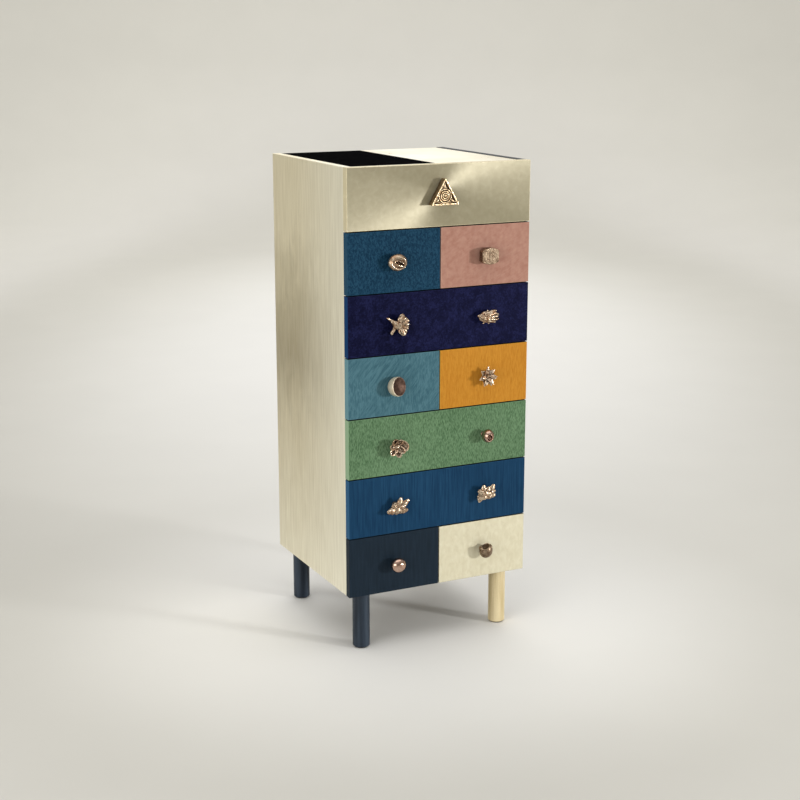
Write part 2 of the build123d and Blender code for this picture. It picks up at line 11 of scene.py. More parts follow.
import bmesh
import bpy
from mathutils import Euler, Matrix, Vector


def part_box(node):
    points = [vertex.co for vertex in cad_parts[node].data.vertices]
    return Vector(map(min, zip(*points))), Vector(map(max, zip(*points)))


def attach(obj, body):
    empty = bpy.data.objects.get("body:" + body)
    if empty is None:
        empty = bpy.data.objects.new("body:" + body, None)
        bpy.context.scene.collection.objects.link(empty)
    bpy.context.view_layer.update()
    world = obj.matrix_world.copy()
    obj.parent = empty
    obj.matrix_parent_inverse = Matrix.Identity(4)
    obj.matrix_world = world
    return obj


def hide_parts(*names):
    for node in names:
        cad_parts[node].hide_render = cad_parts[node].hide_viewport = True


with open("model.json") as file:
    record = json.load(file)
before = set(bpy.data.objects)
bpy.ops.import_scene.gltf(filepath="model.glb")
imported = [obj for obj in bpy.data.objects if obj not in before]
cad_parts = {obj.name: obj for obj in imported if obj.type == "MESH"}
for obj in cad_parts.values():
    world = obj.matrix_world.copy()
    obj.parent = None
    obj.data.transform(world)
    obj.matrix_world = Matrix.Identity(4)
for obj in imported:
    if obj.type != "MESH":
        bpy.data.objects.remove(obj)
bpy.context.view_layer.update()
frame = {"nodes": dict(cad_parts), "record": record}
nodes = frame["nodes"]


def middle_of(node):
    """The middle of a CAD node's box."""
    low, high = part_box(node)
    return (low + high) / 2


# %% [markdown]
# ## Camera
# The photograph was taken from the front left, a little above the top of the chest. The place, turn
# and lens were fitted to the corners of the fronts, the side and the legs. The camera looks down a
# little and has no lens shift, so that other views of the chest stay in the middle of the picture.

# %% Place the camera
CAMERA_PLACE = (-1.7475, -3.5335, 1.5438)
CAMERA_PITCH = 13.61
CAMERA_YAW = 26.24
SENSOR_WIDTH = 36
FOCAL_LENGTH = 69.7
camera_turn = (math.radians(90 - CAMERA_PITCH), 0, math.radians(-CAMERA_YAW))
bpy.ops.object.camera_add(location=CAMERA_PLACE, rotation=camera_turn)
camera = bpy.context.object
camera.name = "photo_camera"
camera.data.sensor_width = SENSOR_WIDTH
camera.data.lens = FOCAL_LENGTH
bpy.context.scene.camera = camera
bpy.context.scene.view_settings.view_transform = "Standard"
print("camera lens", round(camera.data.lens, 1), "mm")

# %% [markdown]
# ## Finishes: the helpers
# A finish is a material whose pattern comes from nodes. Every pattern reads Object coordinates in
# metres, so a grain of a given size in the code has that size on the wood. One helper adds a node
# and wires it at once, which keeps each finish short enough to read.

# %% Helpers for nodes
def paint(red, green, blue):
    """A colour as seen on a screen, 0 to 255, as the shader wants it."""
    shares = (red / 255, green / 255, blue / 255)
    linear = (share / 12.92 if share < 0.04045 else ((share + 0.055) / 1.055) ** 2.4 for share in shares)
    return (*linear, 1.0)


def new_finish(name, **looks):
    """A new material, with the settings that are the same all over its surface."""
    finish = bpy.data.materials.new(name)
    finish.use_nodes = True
    shader = finish.node_tree.nodes["Principled BSDF"]
    for socket, value in looks.items():
        shader.inputs[socket.replace("_", " ")].default_value = value
    return finish


def feed(finish, socket, value):
    """Give a socket a plain value, or wire the output of another node to it."""
    if isinstance(value, bpy.types.NodeSocket):
        finish.node_tree.links.new(value, socket)
    else:
        socket.default_value = value


def add(finish, kind, inputs, **settings):
    """Add a node, with its settings and what its inputs are fed."""
    node = finish.node_tree.nodes.new("ShaderNode" + kind)
    for setting, value in settings.items():
        setattr(node, setting, value)
    for socket, value in inputs.items():
        feed(finish, node.inputs[socket], value)
    return node


def dress(finish, **sockets):
    """Wire patterns to the shader."""
    shader = finish.node_tree.nodes["Principled BSDF"]
    for socket, output in sockets.items():
        finish.node_tree.links.new(output, shader.inputs[socket.replace("_", " ")])


print("node helpers ready")

# %% [markdown]
# A pattern is a chain of few nodes: where to look, a noise, and what to make of it. The helpers below
# are those links, so a finish reads like a recipe.

# %% Helpers for patterns
MICRON = 0.000001


def place(finish, stretch=(1, 1, 1), turn=(0, 0, 0), middle=(0, 0, 0)):
    """Object coordinates, moved, turned and stretched for a pattern."""
    coordinates = add(finish, "TexCoord", {}).outputs["Object"]
    moved = add(finish, "VectorMath", {0: coordinates, 1: middle}, operation="SUBTRACT")
    turned = add(finish, "Mapping", {"Vector": moved.outputs[0], "Rotation": turn}, vector_type="POINT")
    return add(finish, "Mapping", {"Vector": turned.outputs[0], "Scale": stretch}).outputs[0]


def cloud(finish, where, scale, detail=4.0, distortion=0.0):
    """A soft noise between 0 and 1."""
    grain = {"Scale": scale, "Detail": detail, "Distortion": distortion}
    return add(finish, "TexNoise", {"Vector": where, **grain}).outputs["Fac"]


def tones(finish, factor, *stops):
    """Colours along a pattern, each with the place where it stands."""
    ramp = add(finish, "ValToRGB", {"Fac": factor})
    bands = ramp.color_ramp.elements
    while len(bands) < len(stops):
        bands.new(0.5)
    for band, (position, colour) in zip(bands, stops):
        band.position = position
        band.color = paint(*colour)
    return ramp.outputs["Color"]


def mixed(finish, factor, first, second, blend="MIX"):
    """One colour laid over another."""
    mix = add(finish, "Mix", {}, data_type="RGBA", blend_type=blend)
    feed(finish, mix.inputs[0], factor)
    feed(finish, mix.inputs[6], first)
    feed(finish, mix.inputs[7], second)
    return mix.outputs[2]


def combine(finish, operation, *values):
    """Numbers and patterns, combined by one operation."""
    return add(finish, "Math", dict(enumerate(values)), operation=operation).outputs["Value"]


def ranged(finish, value, start, end, low=0.0, high=1.0, **settings):
    """Low where a value is at its start, high where it is at its end, and held beyond both."""
    limits = {"From Min": start, "From Max": end, "To Min": low, "To Max": high}
    return add(finish, "MapRange", {"Value": value, **limits}, **settings).outputs["Result"]


def spread(finish, factor, low, high):
    """A pattern spread between two numbers."""
    return ranged(finish, factor, 0.0, 1.0, low, high)


def relief(finish, height, microns):
    """Small bumps, as deep as the number of microns given."""
    bumps = {"Height": height, "Distance": microns * MICRON, "Strength": 1.0}
    return add(finish, "Bump", bumps).outputs["Normal"]


def painted_edge_highlight(finish, node, reach):
    """A mask for a painted highlight: 1 along the edges of a front and 0 further in than the reach in metres,
    broken up by noise.
    """
    low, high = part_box(node)
    half = (high - low) / 2
    where = add(finish, "SeparateXYZ", {"Vector": place(finish, middle=low + half)})
    inwards = []
    for axis, size in (("X", half.x), ("Z", half.z)):
        away = combine(finish, "ABSOLUTE", where.outputs[axis])
        inwards.append(combine(finish, "SUBTRACT", size, away))
    nearest = combine(finish, "MINIMUM", *inwards)
    crumble = cloud(finish, place(finish), 190.0)
    ragged = combine(finish, "MULTIPLY_ADD", crumble, reach, nearest)
    return ranged(finish, ragged, reach * 0.6, reach * 1.6, 1.0, 0.0)


def facing_along(finish, axis):
    """1 where a face looks along an axis, either way, and 0 where it looks across it."""
    facing = add(finish, "SeparateXYZ", {"Vector": add(finish, "NewGeometry", {}).outputs["Normal"]})
    return combine(finish, "MULTIPLY", facing.outputs[axis], facing.outputs[axis])


print("pattern helpers ready")

# %% [markdown]
# ## Leaf and lacquer
# The left side is a board under champagne gold leaf, brushed upright. Brushing is a rough metal whose
# highlight is drawn out across the strokes: the shader calls that anisotropy, and the Tangent socket
# gives the direction across them. The leaf colour is painted lighter at the foot and the top and darker
# in the middle, as painted shade, and paler along the front edge as a painted highlight. Soft clouds of
# uneven leaf break the bands up.

# %% Gold-leafed side
LEAF_FOOT, LEAF_TOP = 0.15, 1.22
LEAF_MIDDLE, LEAF_FRONT = 0.1, -0.19
gold_side = new_finish("champagne_leaf_brushed_upright", Metallic=0.55, Anisotropic=0.55)
patches = cloud(gold_side, place(gold_side, (1, 3, 1.6)), 1.5, 3.0)
mottle = cloud(gold_side, place(gold_side, (1, 1, 0.5)), 26.0, 7.0, 0.6)
strokes = cloud(gold_side, place(gold_side, (1, 230, 9)), 1.0, 5.0)
spot = add(gold_side, "SeparateXYZ", {"Vector": place(gold_side)})
# Painted shade: the colour is lighter at the foot and the top and darker in the middle.
height = ranged(gold_side, spot.outputs["Z"], LEAF_FOOT, LEAF_TOP, -0.21, 0.79)
leaf_mottle_and_painted_shade = combine(gold_side, "MULTIPLY_ADD", mixed(gold_side, 0.45, patches, mottle), 0.42, height)
leaf_tone_and_painted_shade = tones(
    gold_side, leaf_mottle_and_painted_shade, (0.05, (248, 241, 216)), (0.3, (224, 213, 182)), (0.52, (162, 149, 116)),
    (0.66, (186, 174, 140)), (0.84, (241, 230, 198)),
)
# Painted highlight: the leaf is painted paler towards the front edge.
painted_front_highlight = ranged(gold_side, spot.outputs["Y"], LEAF_MIDDLE, LEAF_FRONT, 0.0, 0.9)
with_painted_front_highlight = mixed(gold_side, painted_front_highlight, leaf_tone_and_painted_shade, paint(255, 251, 232))
brushed = tones(gold_side, strokes, (0.3, (186, 174, 142)), (0.7, (250, 245, 226)))
dress(
    gold_side,
    Base_Color=mixed(gold_side, 0.3, with_painted_front_highlight, brushed),
    Roughness=spread(gold_side, strokes, 0.36, 0.52),
    Normal=relief(gold_side, strokes, microns=50),
    Tangent=add(gold_side, "CombineXYZ", {"Y": 1.0}).outputs[0],
)
print("side:", gold_side.name)

# %% [markdown]
# The top drawer is brass that was brushed in rings round its knob. The direction across such strokes
# points away from the knob at every place, so the way from the knob goes to the Tangent socket. It
# makes the light fan out from the knob in two streaks.

# %% Ring-brushed brass front
BRASS_EDGE_HIGHLIGHT = 0.0016
brass = new_finish("brass_leaf_brushed_in_rings", Metallic=0.3, Anisotropic=0.98)
from_knob = place(brass, middle=middle_of("knob_triangle"))
tarnish = cloud(brass, place(brass), 9.0, 5.0, 0.4)
fine = cloud(brass, place(brass, (60, 1, 90)), 1.0, 6.0)
mottle = mixed(brass, 0.75, tarnish, cloud(brass, place(brass), 70.0, 6.0, 0.5))
tint = tones(brass, mottle, (0.34, (150, 142, 116)), (0.52, (156, 148, 122)), (0.68, (162, 154, 129)))
# Painted highlight: the brass is painted paler along the edges of the front.
with_painted_edge_highlight = mixed(brass, painted_edge_highlight(brass, "brass_drawer_front", BRASS_EDGE_HIGHLIGHT), tint, paint(226, 214, 178))
dress(
    brass,
    Base_Color=with_painted_edge_highlight,
    Roughness=spread(brass, fine, 0.38, 0.44),
    Normal=relief(brass, fine, microns=30),
    Tangent=add(brass, "VectorMath", {0: from_knob}, operation="NORMALIZE").outputs[0],
)
print("top drawer:", brass.name)

# %% [markdown]
# The top is half black lacquer and half burnished gold leaf. The black half hardly shines, so its
# highlight is taken away. The gold half is a smooth metal that mirrors the pale room.

# %% Pale gold and black of the top
gold_top = new_finish("pale_gold_leaf_burnished", Metallic=0.75)
leafing = cloud(gold_top, place(gold_top), 7.0)
burnish = cloud(gold_top, place(gold_top, (40, 40, 1)), 1.0, 3.0)
dress(
    gold_top,
    Base_Color=tones(gold_top, leafing, (0.3, (248, 238, 212)), (0.7, (255, 250, 234))),
    Roughness=spread(gold_top, leafing, 0.24, 0.34),
    Normal=relief(gold_top, burnish, microns=20),
)
black = new_finish("black_lacquer_matt", Specular_IOR_Level=0.0)
skin = cloud(black, place(black, (70, 70, 70)), 1.0)
dress(
    black,
    Base_Color=tones(black, skin, (0.3, (10, 10, 11)), (0.7, (17, 17, 18))),
    Roughness=spread(black, skin, 0.5, 0.62),
    Normal=relief(black, skin, microns=20),
)
print("top:", gold_top.name, black.name)

# %% [markdown]
# The two lowest fronts are lacquered, one ivory with gold powder in it and one navy. The powder is a
# little metal in the shader. The upper and lower faces of the ivory front show only in the gaps, where
# a pale edge would draw a bright line, so they are painted dark as painted shade.

# %% Ivory-gold and navy lacquer
ivory = new_finish("ivory_gold_lacquer_satin", Metallic=0.25, Specular_IOR_Level=0.4)
haze = cloud(ivory, place(ivory, (1, 1, 0.6)), 90.0, 6.0, 0.6)
powder = tones(ivory, haze, (0.3, (205, 197, 169)), (0.5, (211, 204, 177)), (0.7, (217, 211, 186)))
# Painted shade: the upper and lower faces, seen only in the gaps, are painted dark.
dress(
    ivory,
    Base_Color=mixed(ivory, facing_along(ivory, "Z"), powder, paint(30, 27, 22)),
    Roughness=spread(ivory, haze, 0.4, 0.5),
    Normal=relief(ivory, haze, microns=50),
)
navy = new_finish("navy_black_lacquer_satin", Specular_IOR_Level=0.06)
brushing = cloud(navy, place(navy, (160, 160, 14)), 1.0)
dress(
    navy,
    Base_Color=tones(navy, brushing, (0.3, (25, 36, 46)), (0.7, (31, 43, 55))),
    Roughness=spread(navy, brushing, 0.36, 0.46),
    Normal=relief(navy, brushing, microns=20),
)
print("lacquers:", ivory.name, navy.name)

# %% [markdown]
# The legs are turned and lacquered to match the half of the chest that they stand under: dark on the
# left, gold on the right. Upright light and dark stripes are painted highlights along the leg, drawn by
# a noise that is fine round the leg and long along it.

# %% Leg lacquers
def leg_lacquer(name, shade, light, **looks):
    """A lacquer with upright stripes of painted highlight."""
    finish = new_finish(name, **looks)
    painted_highlight_stripes = cloud(finish, place(finish, (85, 85, 5)), 1.0, 4.0, 0.3)
    specks = cloud(finish, place(finish), 420.0, 3.0)
    body = tones(finish, painted_highlight_stripes, (0.34, shade), (0.66, light))
    dots = tones(finish, specks, (0.35, shade), (0.65, light))
    dress(
        finish,
        Base_Color=mixed(finish, 0.15, body, dots),
        Roughness=spread(finish, painted_highlight_stripes, 0.34, 0.48),
        Normal=relief(finish, painted_highlight_stripes, microns=40),
    )
    return finish


dark_leg = leg_lacquer("dark_leg_lacquer", (22, 31, 42), (54, 66, 80), Specular_IOR_Level=0.25)
gold_leg = leg_lacquer("gold_leg_lacquer", (200, 180, 134), (238, 222, 182), Metallic=0.35)
print("legs:", dark_leg.name, gold_leg.name)

# %% [markdown]
# ## Dyed veneers
# Seven fronts are thin sheets of figured wood, dyed and varnished. All of them share one recipe: a
# large soft cloud for the uneven dye, the figure of the wood over it, and fine upright pores that
# also make the small relief. Only tones and figure differ, so each veneer passes its own. Along the
# edges of a front a paler tone is a painted highlight, its flanks take a lighter tone as painted light,
# and its upper and lower ledge, seen only in the gaps, are painted dark as painted shade.

# %% The veneer recipe
VENEER_EDGE_HIGHLIGHT = 0.0011


def veneer(front, name, shade, middle, light, figure, microns=60, bite=0.1, edge=None):
    """A dyed veneer from its three tones and a function that draws its figure."""
    finish = new_finish(name, Specular_IOR_Level=0.02)
    marks = figure(finish)
    pores = cloud(finish, place(finish, (620, 620, 42)), 1.0, 3.0)
    dye = cloud(finish, place(finish, (1, 1, 0.8)), 5.0, 3.0)
    wood = tones(finish, marks, (0.5 - bite, shade), (0.5, middle), (0.5 + bite, light))
    cloudy = mixed(finish, 0.28, wood, tones(finish, dye, (0.34, shade), (0.66, light)))
    dyed = mixed(finish, 0.16, cloudy, tones(finish, pores, (0.35, shade), (0.6, light)), "OVERLAY")
    # Painted highlight: a paler tone along the edges of the front.
    pale = paint(*(min(255, 1.12 * c + 6) for c in light))
    with_painted_edge_highlight = mixed(finish, painted_edge_highlight(finish, front, VENEER_EDGE_HIGHLIGHT), dyed, pale)
    # Painted light: the flanks of the front get a lighter tone.
    with_painted_flank_light = mixed(finish, facing_along(finish, "X"), with_painted_edge_highlight, paint(*(edge or light)))
    # Painted shade: the upper and lower ledges, seen only in the gaps, are painted dark.
    dress(
        finish,
        Base_Color=mixed(finish, facing_along(finish, "Z"), with_painted_flank_light, paint(16, 15, 15)),
        Roughness=spread(finish, marks, 0.5, 0.4),
        Normal=relief(finish, mixed(finish, 0.4, marks, pores), microns),
    )
    return finish


print("veneer recipe ready")

# %% [markdown]
# Most of the figures are flecks: a noise drawn out along the grain, finer or longer from wood to wood.
# The light blue wood also has leaning streaks, which gather in some places and leave others plain.

# %% Flecked and streaked figures
def flecks(wide, tall, turn=0.0, distortion=0.0, detail=3.0):
    """Drawn-out flecks, with their width and height in metres and their lean in degrees."""
    def draw(finish):
        where = place(finish, (1 / wide, 1 / wide, 1 / tall), (0, math.radians(turn), 0))
        return cloud(finish, where, 1.0, detail, distortion)
    return draw


def streaked(finish):
    """A fine upright grain, crossed here and there by streaks that lean to the right."""
    grain = flecks(wide=0.003, tall=0.014, distortion=0.6, detail=4.0)(finish)
    streaks = flecks(wide=0.007, tall=0.06, turn=-40, distortion=1.8, detail=5.0)(finish)
    gathered = ranged(finish, cloud(finish, place(finish), 13.0, 2.0), 0.42, 0.6, 0.15, 0.85)
    return mixed(finish, gathered, grain, streaks)


teal = veneer(
    "teal_drawer_front", "teal_mottled_veneer", (15, 45, 66), (26, 60, 83), (38, 75, 99),
    flecks(wide=0.0034, tall=0.0062, distortion=0.9, detail=6.0), bite=0.08,
)
mustard = veneer(
    "mustard_drawer_front", "mustard_plain_veneer", (173, 117, 39), (186, 132, 49), (196, 143, 56),
    flecks(wide=0.003, tall=0.016, distortion=0.5, detail=5.0), bite=0.2,
)
green = veneer(
    "green_drawer_front", "green_flecked_veneer", (68, 96, 67), (102, 131, 99), (115, 144, 111),
    flecks(wide=0.0018, tall=0.008, distortion=0.3, detail=5.0), bite=0.085, edge=(146, 174, 142),
)
blue = veneer(
    "blue_drawer_front", "blue_straight_veneer", (23, 53, 81), (29, 64, 94), (36, 74, 105),
    flecks(wide=0.0026, tall=0.06, distortion=0.3), bite=0.19, edge=(50, 94, 130),
)
sky = veneer(
    "sky_drawer_front", "sky_streaked_veneer", (60, 95, 107), (75, 111, 122), (86, 123, 134),
    streaked, bite=0.09, edge=(104, 144, 154),
)
print("flecked veneers ready")

# %% [markdown]
# The indigo wood is crowded with small eyes. A noise that looks up its place through another, slower
# noise is bent like wood round its knots. The pink wood has faint wavy lines that climb to the right:
# a noise drawn out along a leaning axis, with much distortion.

# %% Crowded-eye and wavy figures
def birds_eyes(finish):
    """Crowded small eyes in the wood: a fine mottle, bent by a slow noise."""
    slow = add(finish, "TexNoise", {"Vector": place(finish), "Scale": 22.0, "Detail": 3.0})
    bend = {0: slow.outputs["Color"], 1: (0.03, 0.03, 0.03), 2: place(finish)}
    bent = add(finish, "VectorMath", bend, operation="MULTIPLY_ADD").outputs[0]
    eyes = cloud(finish, bent, 210.0, 3.0, 0.8)
    return mixed(finish, 0.45, eyes, cloud(finish, bent, 48.0, 4.0, 0.6))


def waves(finish):
    """Faint broken lines that climb to the right."""
    where = place(finish, (18, 18, 90), (0, math.radians(30), 0))
    lines = cloud(finish, where, 1.0, 3.0, 2.4)
    return mixed(finish, 0.68, lines, cloud(finish, place(finish), 75.0, 6.0))


indigo = veneer(
    "indigo_drawer_front", "indigo_eyed_veneer", (9, 10, 34), (19, 21, 51), (32, 35, 73),
    birds_eyes, microns=40, edge=(17, 58, 104),
)
pink = veneer(
    "pink_drawer_front", "pink_waved_veneer", (158, 116, 102), (169, 130, 115), (178, 141, 125),
    waves, microns=30, bite=0.14,
)
print("veneers:", [m.name for m in bpy.data.materials if m.name.endswith("veneer")])

# %% [markdown]
# ## Plain woods, metal and felt
# What nobody sees with the drawers shut still has its own material. The boards of a drawer box share
# one mesh, so its grain looks at which way a face points: boards that face the front or the back have
# their grain across the drawer, and all others have it along the drawer.

# %% Drawer maple and stained carcass
def solid_wood(name, shade, light, roughness):
    """Straight-grained wood with growth rings and pores."""
    finish = new_finish(name, Specular_IOR_Level=0.3)
    across = place(finish, (7, 60, 60))
    along = place(finish, (60, 7, 60))
    grain = mixed(finish, facing_along(finish, "Y"), along, across)
    rings = cloud(finish, grain, 1.0, 5.0, 1.1)
    pores = cloud(finish, grain, 11.0, 2.0)
    body = tones(finish, rings, (0.3, shade), (0.7, light))
    pricks = tones(finish, pores, (0.35, shade), (0.6, light))
    dress(
        finish,
        Base_Color=mixed(finish, 0.2, body, pricks, "MULTIPLY"),
        Roughness=spread(finish, rings, roughness, roughness - 0.12),
        Normal=relief(finish, pores, microns=40),
    )
    return finish


maple = solid_wood("waxed_maple", (190, 154, 108), (222, 190, 146), 0.55)
carcass = solid_wood("dark_stained_plywood", (44, 38, 33), (70, 61, 52), 0.6)
print("woods:", maple.name, carcass.name)

# %% [markdown]
# Screws and leg studs are zinc-plated, and the plating has a fine crystalline mottle. Felt is matted
# fibres that stand off by a good part of a millimetre, with the soft bright rim that the shader calls
# sheen.

# %% Steel and felt
steel = new_finish("zinc_plated_steel", Metallic=1.0)
plating = cloud(steel, place(steel), 900.0)
dress(
    steel,
    Base_Color=tones(steel, plating, (0.3, (160, 162, 164)), (0.7, (196, 196, 192))),
    Roughness=spread(steel, plating, 0.24, 0.42),
    Normal=relief(steel, plating, microns=10),
)
felt = new_finish("dark_felt", Specular_IOR_Level=0.1, Sheen_Weight=0.4)
fibres = cloud(felt, place(felt), 1400.0, 4.0, 2.0)
dress(
    felt,
    Base_Color=tones(felt, fibres, (0.3, (42, 41, 40)), (0.7, (74, 72, 70))),
    Roughness=spread(felt, fibres, 0.85, 1.0),
    Normal=relief(felt, fibres, microns=400),
)
print("small parts:", steel.name, felt.name)

# %% [markdown]
# The knobs are cast in rose bronze. After casting, a dark patina stays in the hollows and the high
# spots are polished bright. Pointiness tells how sharp the surface is at each point, so it can put the
# patina in the hollows and the polish on the ridges of any knob. Close to the front the bronze is kept
# dark too: partly patina where no polishing cloth reaches, partly painted shade.

# %% Rose bronze
HOLLOW_REACH = 0.012
STAIN_AND_PAINTED_SHADE_HEIGHT = 0.002
POLISHED_HEIGHT = 0.018
front_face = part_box("brass_drawer_front")[0].y


def cast_bronze(name, low_tones, high_tones, smooth, dull, grit, metal=1.0):
    """Cast bronze with a grit in microns: stain in the hollows, stain and painted shade close to the front,
    polish further out.
    """
    finish = new_finish(name, Metallic=metal)
    sharp = add(finish, "NewGeometry", {}).outputs["Pointiness"]
    ridge = ranged(finish, sharp, 0.478, 0.53)
    around = add(finish, "AmbientOcclusion", {"Distance": HOLLOW_REACH}, only_local=True, samples=8)
    hollow = ranged(finish, around.outputs["AO"], 0.35, 0.9)
    # Close to the front the polish fades to the dark tones: partly patina, partly painted shade.
    away = add(finish, "SeparateXYZ", {"Vector": place(finish)}).outputs["Y"]
    reach = ranged(finish, away, front_face - STAIN_AND_PAINTED_SHADE_HEIGHT, front_face - POLISHED_HEIGHT, 0.15, 1.0)
    polish = combine(finish, "MULTIPLY", combine(finish, "MULTIPLY", ridge, reach), hollow)
    stain = cloud(finish, place(finish), 130.0, 4.0, 0.6)
    grain = cloud(finish, place(finish), 1100.0, 3.0)
    dark = tones(finish, stain, (0.3, low_tones[0]), (0.7, low_tones[1]))
    bright = tones(finish, stain, (0.36, high_tones[0]), (0.6, high_tones[1]))
    dress(
        finish,
        Base_Color=mixed(finish, polish, dark, bright),
        Roughness=spread(finish, polish, dull, smooth),
        Normal=relief(finish, grain, grit),
    )
    return finish


bronze = cast_bronze(
    "rose_bronze_cast", ((30, 22, 18), (82, 58, 45)), ((210, 164, 128), (255, 236, 208)),
    smooth=0.2, dull=0.5, grit=100,
)
gold_bronze = cast_bronze(
    "gold_bronze_cast", ((40, 30, 20), (92, 70, 48)), ((206, 168, 124), (250, 228, 190)),
    smooth=0.24, dull=0.55, grit=100,
)
dark_bronze = cast_bronze(
    "brown_bronze_cast", ((38, 29, 24), (70, 55, 44)), ((140, 114, 92), (186, 164, 138)),
    smooth=0.3, dull=0.6, grit=140,
)
satin_bronze = cast_bronze(
    "brown_bronze_satin", ((38, 29, 24), (60, 46, 38)), ((92, 70, 62), (128, 102, 90)),
    smooth=0.42, dull=0.6, grit=60,
)
mirror_bronze = cast_bronze(
    "rose_bronze_polished", ((96, 70, 58), (130, 98, 84)), ((222, 178, 156), (246, 214, 194)),
    smooth=0.14, dull=0.26, grit=10,
)
cream_bronze = cast_bronze(
    "cream_bronze_satin", ((176, 158, 130), (198, 180, 152)), ((244, 228, 200), (252, 242, 220)),
    smooth=0.26, dull=0.36, grit=20, metal=0.35,
)
print("all finishes:", len(bpy.data.materials))

# %% [markdown]
# ## Dress the CAD nodes
# The record says which finish belongs to which node. Each finish goes into the slots that the node
# already has, and its mesh is left as it is.

# %% Assign the finishes
finish_of_slot = {
    "gold_leafed_side": gold_side,
    "brass_leaf": brass,
    "pale_gold_top": gold_top,
    "ivory_gold": ivory,
    "navy_lacquer": navy,
    "black_lacquer": black,
    "teal_veneer": teal,
    "pink_veneer": pink,
    "indigo_veneer": indigo,
    "sky_veneer": sky,
    "mustard_veneer": mustard,
    "green_veneer": green,
    "blue_veneer": blue,
    "carcass_wood": carcass,
    "drawer_wood": maple,
    "cast_bronze": bronze,
    "steel": steel,
    "felt": felt,
}
leg_finish = {"left": dark_leg, "right": gold_leg}
for piece in frame["record"]["subparts"]:
    node = nodes[piece["node"]]
    finish = finish_of_slot[piece["material_slot"]]
    words = piece["node"].split("_")
    if words[0] == "leg" and words[-1] in leg_finish:
        finish = leg_finish[words[-1]]
    if not node.material_slots:
        node.data.materials.append(finish)
    for slot in node.material_slots:
        slot.material = finish

# %% [markdown]
# ## Thirteen cast knobs
# A founder makes such a knob in wax: lumps, thorns, blades and spoons are pressed together, melted
# into one skin and cast. The same works here. Simple pieces overlap, a voxel remesh melts them into
# one closed skin, and smoothing and a little noise give it the surface of a casting. Each knob is
# modelled at the origin: x to the right, y up, z out of the front, and its seat at z = 0.

# %% Tools that change a piece
MM = 0.001


def only(piece):
    """Select one piece alone and make it the active one."""
    bpy.ops.object.select_all(action="DESELECT")
    piece.select_set(True)
    bpy.context.view_layer.objects.active = piece


def apply_modifier(piece, kind, **settings):
    """Add a modifier and apply it at once."""
    only(piece)
    modifier = piece.modifiers.new(kind.lower(), kind)
    for setting, value in settings.items():
        setattr(modifier, setting, value)
    bpy.ops.object.modifier_apply(modifier=modifier.name)


def carve(piece, tool):
    """Cut the shape of a tool out of a piece, and put the tool away."""
    apply_modifier(piece, "BOOLEAN", operation="DIFFERENCE", object=tool)
    bpy.data.objects.remove(tool)


def merge(pieces):
    """Join pieces into the first one, at the origin and unscaled."""
    bpy.ops.object.select_all(action="DESELECT")
    for piece in pieces:
        piece.select_set(True)
    bpy.context.view_layer.objects.active = pieces[0]
    if len(pieces) > 1:
        bpy.ops.object.join()
    bpy.ops.object.transform_apply(location=True, rotation=True, scale=True)
    return bpy.context.object


def melt(name, pieces, voxel, soften, ripple, ripple_size):
    """Melt pieces into one skin, soften and ripple it, and cut it flat at its seat, in millimetres."""
    knob = merge(pieces)
    knob.name = knob.data.name = name
    apply_modifier(knob, "REMESH", mode="VOXEL", voxel_size=voxel * MM)
    apply_modifier(knob, "SMOOTH", factor=0.5, iterations=soften)
    noise = bpy.data.textures.new(name + "_ripple", "CLOUDS")
    noise.noise_scale = ripple_size * MM
    apply_modifier(knob, "DISPLACE", texture=noise, strength=ripple * MM, mid_level=0.5)
    bpy.ops.object.mode_set(mode="EDIT")
    bpy.ops.mesh.select_all(action="SELECT")
    bpy.ops.mesh.bisect(plane_co=(0, 0, 0), plane_no=(0, 0, 1), clear_inner=True, use_fill=True)
    bpy.ops.object.mode_set(mode="OBJECT")
    return knob


print("tools ready")

# %% [markdown]
# Four shapes of wax make most of the knobs. A lump is a stretched ball and a thorn is a cone. A blade
# is two thorns, root to root, and a spoon is half a ball with a wall, as a petal has.

# %% Shapes of wax
WAX_FACES = {"segments": 40, "ring_count": 20, "radius": 0.5}
BLADE_FLATNESS = 0.75
BLADE_FOOT = 2.0
SPOON_LIP_SHARE = 0.01
SPOON_ROOT_SHARE = 0.45


def outwards(distance, turn, rise=0):
    """The way to a point so far off, at an angle on the front and a rise from it, both in degrees."""
    return Euler((0, math.radians(-rise), math.radians(turn))).to_matrix() @ Vector((distance, 0, 0))


def lump(middle, size, turn=0, tip=0, roll=0):
    """An ellipsoid in millimetres, rolled and tipped, then turned on the front."""
    bpy.ops.object.select_all(action="DESELECT")
    bpy.ops.mesh.primitive_uv_sphere_add(
        **WAX_FACES, location=Vector(middle) * MM, scale=Vector(size) * MM,
        rotation=(math.radians(roll), math.radians(tip), math.radians(turn)),
    )
    return bpy.context.object


def thorn(start, end, root, point, flat=1.0):
    """A tapered spike in millimetres between two points. It can be flattened towards the front."""
    way = Vector(end) - Vector(start)
    bpy.ops.object.select_all(action="DESELECT")
    bpy.ops.mesh.primitive_cone_add(
        vertices=32, radius1=root * MM, radius2=point * MM, depth=way.length * MM,
        location=(Vector(start) + way / 2) * MM, rotation=way.to_track_quat("Z", "Y").to_euler(),
    )
    spike = bpy.context.object
    spike.scale.y = flat
    return spike


def blade(start, end, width, swell=0.42, point=0.3):
    """A diamond-shaped blade in millimetres: two thorns that meet where it is widest."""
    widest = Vector(start) + (Vector(end) - Vector(start)) * swell
    tip_half = thorn(widest, end, width, point, BLADE_FLATNESS)
    return [tip_half, thorn(widest, start, width, BLADE_FOOT, BLADE_FLATNESS)]


